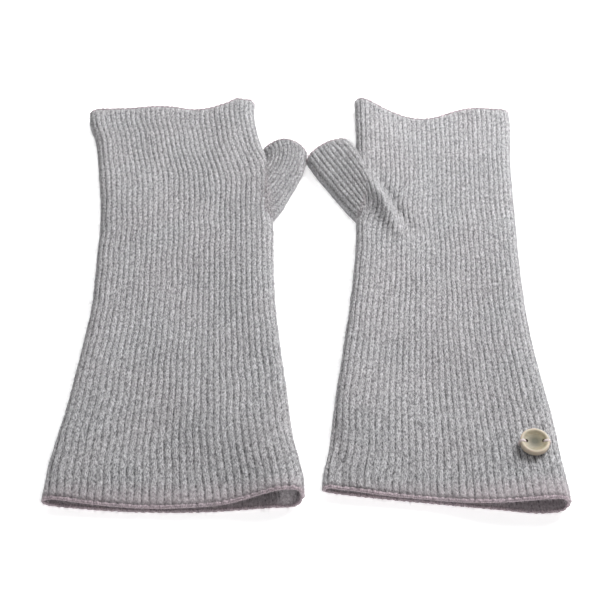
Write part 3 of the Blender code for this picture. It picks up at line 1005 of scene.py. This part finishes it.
# %% Copy the fibre thousands of times
def fibres(name, piece, count, length, seed, stand=(0.35, 1.1), root=-0.25 * MM, lowest=1.5 * MM):
    """A piece of loose fibres on another piece. stand is how steeply they rise, least and most."""
    draw = np.random.default_rng(seed)
    roots, outward = outer_spots(piece, count, draw, lowest)
    lean = draw.normal(size=(count, 3))
    way = outward * draw.uniform(*stand, (count, 1)) + lean * 0.6
    way /= np.linalg.norm(way, axis=1)[:, None]
    side = np.cross(way, draw.normal(size=(count, 3)))
    side /= np.linalg.norm(side, axis=1)[:, None]
    other = np.cross(way, side)
    long = length * draw.uniform(0.45, 1.25, (count, 1, 1))
    bend = side * draw.uniform(0.2, 0.7, (count, 1))
    t = fibre_places[None, :, 2:3]
    thick = FIBRE_RADIUS * draw.uniform(0.7, 1.2, (count, 1, 1))
    places = roots[:, None] + outward[:, None] * root + way[:, None] * long * t
    places = places + bend[:, None] * long * t * t
    places = places + side[:, None] * fibre_places[None, :, 0:1] * thick
    places = places + other[:, None] * fibre_places[None, :, 1:2] * thick
    places[:, :, 2] = np.maximum(places[:, :, 2], 0.05 * MM)
    points = len(fibre_places)
    faces = [tuple(i + k * points for i in face) for k in range(count) for face in fibre_faces]
    mesh = bpy.data.meshes.new(name)
    mesh.from_pydata(places.reshape(-1, 3), [], faces)
    mesh.shade_smooth()
    made = bpy.data.objects.new(name, mesh)
    bpy.context.scene.collection.objects.link(made)
    corners = corner_points(mesh)
    along = np.tile(fibre_places[:, 2], count)[corners]
    round_it = np.tile(np.arctan2(fibre_places[:, 1], fibre_places[:, 0]) / 7 + 0.5, count)[corners]
    whose = np.repeat(np.arange(count), points)[corners]
    cells = math.ceil(math.sqrt(count))
    u = (whose % cells + 0.1 + 0.8 * along) / cells
    v = (whose // cells + 0.1 + 0.8 * round_it) / cells
    add_map(mesh, "OFBake", u, v)
    return made


# %% Standing and lying fibres
STANDING = {"hand": (13500, 2.4 * MM), "thumb": (2600, 2.2 * MM)}      # how many, and how long
LYING = {"hand": (13500, 1.9 * MM), "thumb": (2200, 1.7 * MM)}
loose = []
for seed, fabric in enumerate(fabrics, 51):
    many, length = STANDING[fabric.name.split("_")[1]]
    loose.append(fibres(fabric.name.replace("_hand", "") + "_fibres", fabric, many, length, seed))
for seed, fabric in enumerate(fabrics, 61):
    many, length = LYING[fabric.name.split("_")[1]]
    name = fabric.name.replace("_hand", "") + "_fuzz"
    loose.append(fibres(name, fabric, many, length, seed, (-0.05, 0.25), 0.06 * MM, 3 * MM))
edge_fuzz = {}
for seed, (node, piece) in enumerate(edges.items(), 71):
    many = 2600 if "cuff" in node else 1500 if "finger" in node else 600
    edge_fuzz[node] = fibres(piece.name + "_fuzz", piece, many, 1.8 * MM, seed, (0.1, 0.8), lowest=0.4 * MM)
print("fibres:", sum(len(piece.data.polygons) for piece in loose), "faces")

# %% [markdown]
# ## Wool
#
# The yarn is spun from fibres of several greys, so its colour is speckled and never one value. The
# finish mixes a dark and a light grey with fine noise, adds a slow drift of warmer and cooler
# places, paints shade into the valleys between ribs and lightly between the legs of each stitch,
# and raises a V for each stitch. Sheen gives the soft bright edge that fuzz has.

# %% Node helpers
def put(tree, kind, inputs=(), **settings):
    """Adds a node, with what is plugged into it and how it is set."""
    made = tree.nodes.new("ShaderNode" + kind)
    for name, value in settings.items():
        setattr(made, name, value)
    plug(tree, made, inputs)
    return made


def maths(tree, operation, first, second=0.0):
    return put(tree, "Math", ((0, first), (1, second)), operation=operation).outputs[0]


def remap(tree, value, low, high, to_low=0.0, to_high=1.0):
    made = put(tree, "MapRange", ((0, value), (1, low), (2, high), (3, to_low), (4, to_high)))
    return made.outputs[0]


def blend_colours(tree, share, first, second, mode="MIX"):
    made = put(tree, "Mix", ((0, share), (6, first), (7, second)), data_type="RGBA", blend_type=mode)
    return made.outputs[2]


def noise(tree, place, scale, detail=4.0, roughness=0.6):
    inputs = (("Vector", place), ("Scale", scale), ("Detail", detail), ("Roughness", roughness))
    return put(tree, "TexNoise", inputs).outputs["Fac"]


def stretched(tree, place, scale, turn=(0, 0, 0)):
    """A place for a pattern, turned and drawn out."""
    return put(tree, "Mapping", ((0, place), (2, turn), (3, scale))).outputs[0]


def relief(tree, height, strength, distance):
    """A normal that shows a height as relief."""
    inputs = (("Strength", strength), ("Distance", distance), ("Height", height))
    return put(tree, "Bump", inputs).outputs["Normal"]


# %% Wool finishes
DARK_WOOL = (0.186, 0.185, 0.191, 1)
LIGHT_WOOL = (0.650, 0.649, 0.662, 1)
WARM_WOOL = (0.490, 0.420, 0.443, 1)
COOL_WOOL = (0.400, 0.412, 0.430, 1)
FIBRE_STRETCH = (1.0, 0.32, 1.0)
YARN_RELIEF = 0.35 * MM


def wool(name, dark=DARK_WOOL, light=LIGHT_WOOL, warmth=0.10, ribbed=False):
    finish, tree, shader = new_finish(name)
    place = put(tree, "TexCoord").outputs["Object"]
    one_way = stretched(tree, place, FIBRE_STRETCH, (0, 0.3, 0.7))
    other_way = stretched(tree, place, FIBRE_STRETCH, (0.3, 0, -0.6))
    fleck = maths(
        tree, "MAXIMUM", noise(tree, one_way, 2200, 2.0, 0.65), noise(tree, other_way, 1900, 2.0, 0.65)
    )
    blotch = noise(tree, place, 520, 3.0, 0.7)
    drift = noise(tree, place, 38, 2.0, 0.5)
    mix = maths(tree, "ADD", maths(tree, "MULTIPLY", fleck, 0.8), maths(tree, "MULTIPLY", blotch, 0.2))
    colour = blend_colours(tree, remap(tree, mix, 0.46, 0.63), dark, light)
    tint = blend_colours(tree, remap(tree, drift, 0.35, 0.65), COOL_WOOL, WARM_WOOL)
    colour = blend_colours(tree, warmth, colour, tint)
    height = maths(tree, "MULTIPLY", fleck, 0.6)
    if ribbed:
        stitch = put(tree, "UVMap", uv_map="knit").outputs["UV"]
        parts = put(tree, "SeparateXYZ", ((0, stitch),))
        rib, along = parts.outputs[0], parts.outputs[1]
        # Painted shade: the valleys between ribs are darkened in dots broken up by noise, less near the
        # mouths where ribs are shallow, and the legs of each stitch's V get a light painted shade too.
        ridge = maths(tree, "ABSOLUTE", maths(tree, "SINE", maths(tree, "MULTIPLY", rib, math.pi)))
        valley_shade = remap(tree, noise(tree, place, 560, 1.0, 0.5), 0.38, 0.60, 0.26, 0.92)
        shade = remap(tree, ridge, 0.0, 0.60, valley_shade, 1.0)
        pleat = put(tree, "Attribute", attribute_name="pleat").outputs["Fac"]
        depth = maths(tree, "MULTIPLY", pleat, maths(tree, "SUBTRACT", 1.0, shade))
        shade = maths(tree, "SUBTRACT", 1.0, depth)
        across = maths(tree, "ABSOLUTE", maths(tree, "SUBTRACT", maths(tree, "FRACT", rib), 0.5))
        slant = maths(tree, "FRACT", maths(tree, "ADD", along, maths(tree, "MULTIPLY", across, 1.7)))
        leg = maths(tree, "ABSOLUTE", maths(tree, "SUBTRACT", slant, 0.5))
        leg = remap(tree, leg, 0.30, 0.5, 1.0, 0.0)
        shade = maths(tree, "MULTIPLY", shade, remap(tree, leg, 0.0, 1.0, 0.86, 1.03))
        colour = blend_colours(tree, remap(tree, along, 0.0, 5.0, 0.55, 0.0), colour, WARM_WOOL)
        grey = put(tree, "CombineColor", ((0, shade), (1, shade), (2, shade))).outputs[0]
        colour = blend_colours(tree, 1.0, colour, grey, "MULTIPLY")
        height = maths(tree, "ADD", height, maths(tree, "MULTIPLY", leg, 0.7))
    plug(tree, shader, (
        ("Base Color", colour),
        ("Roughness", 0.92),
        ("Specular IOR Level", 0.15),
        ("Sheen Weight", 0.30),
        ("Sheen Roughness", 0.45),
        ("Sheen Tint", (0.95, 0.93, 0.94, 1)),
        ("Normal", relief(tree, height, 0.7, YARN_RELIEF)),
    ))
    return finish


knitted = wool("rib_knit_wool", ribbed=True)
edge_wool = wool("bound_edge_wool", (0.232, 0.185, 0.203, 1), (0.715, 0.592, 0.640, 1), 0.22)
seam_wool = wool("seam_wool", (0.20, 0.188, 0.195, 1), (0.56, 0.54, 0.55, 1), 0.15)
fibre_wool = wool("fibre_wool", (0.12, 0.12, 0.125, 1), (0.93, 0.93, 0.94, 1), 0.05)
edge_fibre_wool = wool("edge_fibre_wool", (0.17, 0.138, 0.150, 1), (0.93, 0.82, 0.86, 1), 0.15)
print("wool finishes:", [wool_.name for wool_ in (knitted, edge_wool, seam_wool, fibre_wool)])

# %% [markdown]
# ## Horn and thread
#
# Horn is polished and a little cloudy, with a paler rim that is partly its own tone and partly a
# painted highlight. The thread is cotton, matt and pale pink, with the fine slanting lines of its twist.


# %% Horn finish
def horn_finish():
    finish, tree, shader = new_finish("polished_horn")
    place = put(tree, "TexCoord").outputs["Object"]
    centred = put(
        tree, "Mapping", ((0, place), (1, (-button_x, -button_y, -button_z))), vector_type="POINT"
    ).outputs[0]
    flat = put(tree, "VectorMath", ((0, centred), (1, (1, 1, 0))), operation="MULTIPLY").outputs[0]
    reach = put(tree, "VectorMath", ((0, flat),), operation="LENGTH").outputs["Value"]
    cloud = noise(tree, stretched(tree, centred, (1.0, 2.4, 1.0)), 320, 4.0, 0.6)
    streak = noise(tree, stretched(tree, centred, (0.5, 6.0, 1.0)), 900, 3.0, 0.5)
    body = blend_colours(
        tree, remap(tree, cloud, 0.32, 0.68), (0.185, 0.158, 0.092, 1), (0.310, 0.265, 0.175, 1)
    )
    body = blend_colours(tree, remap(tree, streak, 0.45, 0.75, 0.0, 0.30), body, (0.42, 0.37, 0.27, 1))
    heart = remap(tree, reach, 1.2 * MM, 4.4 * MM, 0.94, 0.0)
    body = blend_colours(tree, heart, body, (0.050, 0.045, 0.015, 1))
    # The rim is paler all round: partly the horn's own tone, partly a painted highlight.
    rim_tone_and_highlight = remap(tree, reach, 4.8 * MM, 6.0 * MM)
    colour = blend_colours(tree, rim_tone_and_highlight, body, (0.560, 0.485, 0.380, 1))
    plug(tree, shader, (
        ("Base Color", colour),
        ("Roughness", remap(tree, cloud, 0.3, 0.7, 0.40, 0.55)),
        ("Specular IOR Level", 0.35),
        ("Coat Weight", 0.08),
        ("Coat Roughness", 0.25),
        ("Subsurface Weight", 0.08),
        ("Subsurface Scale", 1.0 * MM),
        ("Normal", relief(tree, streak, 0.15, 0.05 * MM)),
    ))
    return finish


def thread_finish():
    finish, tree, shader = new_finish("cotton_thread")
    place = put(tree, "TexCoord").outputs["Object"]
    turned = stretched(tree, place, (1, 1, 1), (0, math.radians(35), 0))
    twist = put(tree, "TexWave", (("Vector", turned), ("Scale", 700.0), ("Distortion", 1.0)))
    twist = twist.outputs["Fac"]
    plug(tree, shader, (
        ("Base Color", blend_colours(tree, twist, (0.60, 0.50, 0.50, 1), (0.86, 0.78, 0.77, 1))),
        ("Roughness", 0.8),
        ("Sheen Weight", 0.2),
        ("Normal", relief(tree, twist, 0.6, 0.08 * MM)),
    ))
    return finish


horn = horn_finish()
thread = thread_finish()
print("button finishes:", horn.name, thread.name)

# %% [markdown]
# ## Putting the pieces on the bodies
#
# Everything on a hand rides with that hand. The thumb is one fabric with the hand, but its pieces
# ride with no body: their places are baked into their meshes. Each new piece takes over from the
# plain one it stands for, which is hidden, and each fabric's flat width, length and area are printed.


def dress(piece, finish, body, node=None):
    piece.data.materials.clear()
    piece.data.materials.append(finish)
    if body.endswith("_thumb"):
        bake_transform(piece)
    else:
        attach(piece, body)
    if node:
        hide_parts(node)


dress(left_hand, knitted, "left_glove", "left_hand_tube")
dress(right_hand, knitted, "right_glove", "right_hand_tube")
dress(left_thumb, knitted, "left_thumb", "left_thumb_tube")
dress(right_thumb, knitted, "right_thumb", "right_thumb_tube")
for node, piece in edges.items():
    hand = node.split("_")[0]
    body = hand + ("_thumb" if "thumb" in node else "_glove")
    dress(piece, edge_wool, body, node)
    dress(edge_fuzz[node], edge_fibre_wool, body)
for node, piece in seams.items():
    dress(piece, seam_wool, node.split("_")[0] + "_glove", node)
for piece in loose:
    hand = piece.name.split("_")[0]
    dress(piece, fibre_wool, hand + ("_thumb" if "thumb" in piece.name else "_glove"))
dress(button, horn, "button", "button")
dress(stitch_left, thread, "button", "button_stitch_left")
dress(stitch_right, thread, "button", "button_stitch_right")


def flat_area(grid):
    """Width round and length along of a tube's skin, and its area, as it was before it was laid down."""
    around = np.linalg.norm(np.diff(grid, axis=1, append=grid[:, :1]), axis=2)
    along = np.linalg.norm(np.diff(grid, axis=0), axis=2)
    area = float((around[:-1] * np.resize(along, around[:-1].shape)).sum())
    return float(around.sum(axis=1).max()), float(along.sum(axis=0).max()), area


HAND_PARTS = ("cuff_edge", "finger_edge", "side_seam", "thumb_seam")
THUMB_PARTS = ("thumb_edge",)
yarns = {**edges, **seams}
for piece, grid in zip(fabrics, (left_grid, right_grid, left_thumb_grid, right_thumb_grid)):
    hand, part = piece.name.split("_")
    nodes = [hand + "_" + end for end in (HAND_PARTS if part == "hand" else THUMB_PARTS)]
    carried = [yarns[node] for node in nodes]
    carried += [bpy.data.objects[piece.name.replace("_hand", "") + end] for end in ("_fibres", "_fuzz")]
    carried += [edge_fuzz[node] for node in nodes if node in edge_fuzz]
    width, length, area = flat_area(grid)
    print(piece.name, "flat:", round(width, 3), "by", round(length, 3), "m, area", round(area, 4), "m2")
